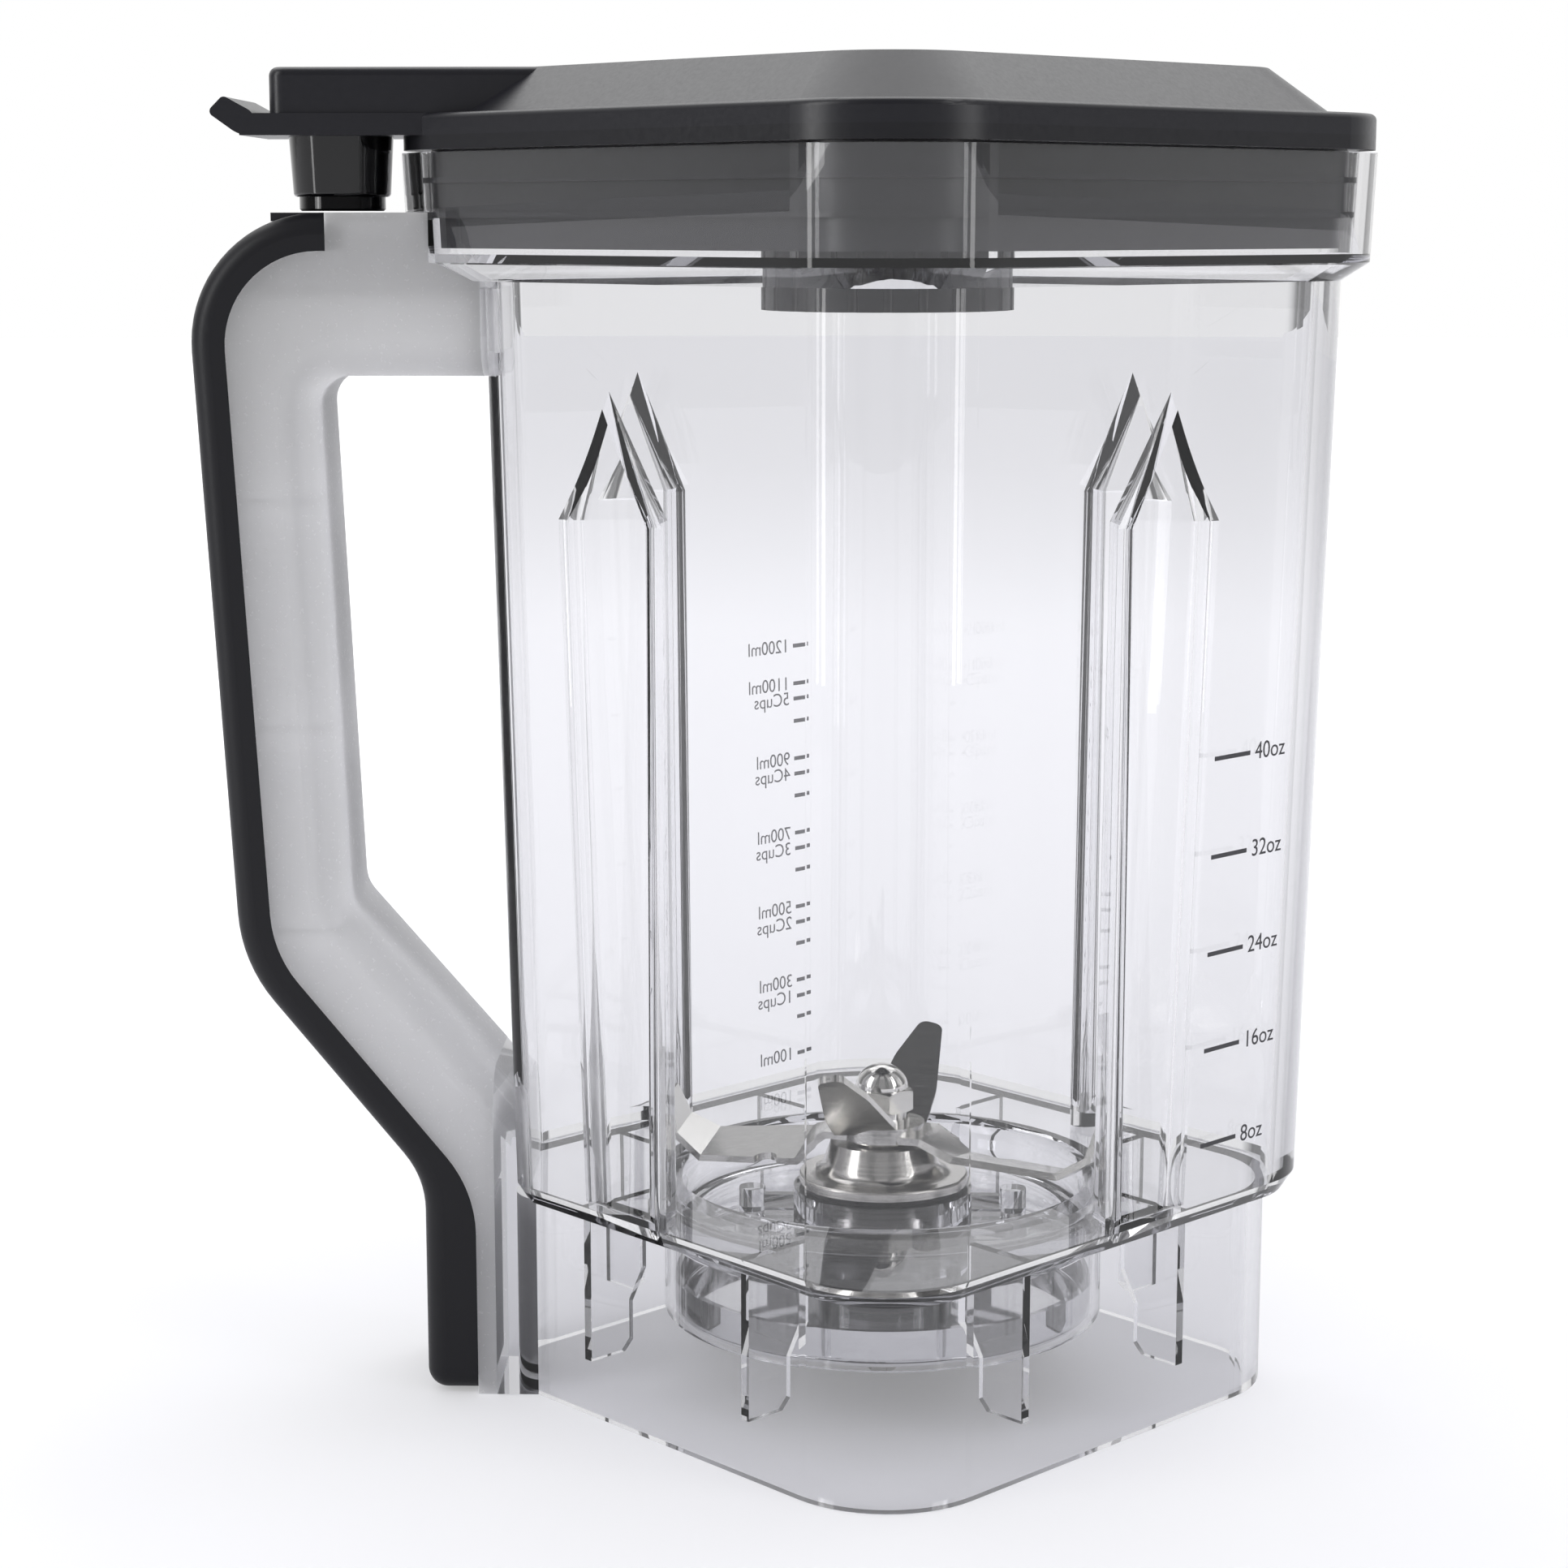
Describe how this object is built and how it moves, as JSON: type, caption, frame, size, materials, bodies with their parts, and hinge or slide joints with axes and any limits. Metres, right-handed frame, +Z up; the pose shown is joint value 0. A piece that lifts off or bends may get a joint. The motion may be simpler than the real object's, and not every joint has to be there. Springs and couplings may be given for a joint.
{
  "type": "blender jar",
  "caption": "Clear square blender jar with a moulded handle and soft grip, a press-in lid with a filler cap, and a bladed spindle turning in its floor.",
  "frame": {"origin": "on the spindle axis, in the plane of the jar's base rim", "axes": "+Z up along the spindle, -X towards the handle; the jar's square corners lie on the X and Y axes"},
  "size_m": [0.2213, 0.1828, 0.2555],
  "materials": {
    "jar_clear": "clear, glossy",
    "grip_charcoal": "satin",
    "plate_grey": "satin",
    "lid_charcoal": "satin",
    "seal_rubber": "matte",
    "gloss_black": "glossy",
    "satin_steel": "satin",
    "bright_steel": "polished",
    "blade_steel": "brushed"
  },
  "bodies": {
    "jar": {"jar_body": "jar_clear", "handle_grip": "grip_charcoal", "handle_top_plate": "plate_grey", "handle_foot_block": "plate_grey", "bearing_housing": "satin_steel", "housing_gasket": "seal_rubber", "upper_bearing": "bright_steel", "lower_bearing": "bright_steel", "bearing_spacer": "satin_steel", "bearing_circlip": "bright_steel", "shaft_seal": "seal_rubber", "steel_dish": "bright_steel", "retaining_nut": "satin_steel"},
    "lid": {"lid_cover": "lid_charcoal", "lid_seal": "seal_rubber", "interlock_cup": "gloss_black", "interlock_plunger": "gloss_black"},
    "filler": {"filler_cap": "lid_charcoal"},
    "blade_unit": {"spindle": "satin_steel", "spindle_clip": "bright_steel", "lower_blade": "blade_steel", "upper_blade": "blade_steel", "blade_washer": "bright_steel", "lock_washer": "bright_steel", "cap_nut": "bright_steel"}
  },
  "joints": [
    {"name": "lid_lift", "type": "slide", "parent": "jar", "child": "lid", "axis": [0, 0, 1], "range_m": [0, 0.12]},
    {"name": "filler_lift", "type": "slide", "parent": "lid", "child": "filler", "axis": [0, 0, 1], "range_m": [0, 0.06]},
    {"name": "blade_spin", "type": "hinge", "parent": "jar", "child": "blade_unit", "pos_m": [0, 0, 0.0486], "axis": [0, 0, 1], "continuous": true}
  ]
}
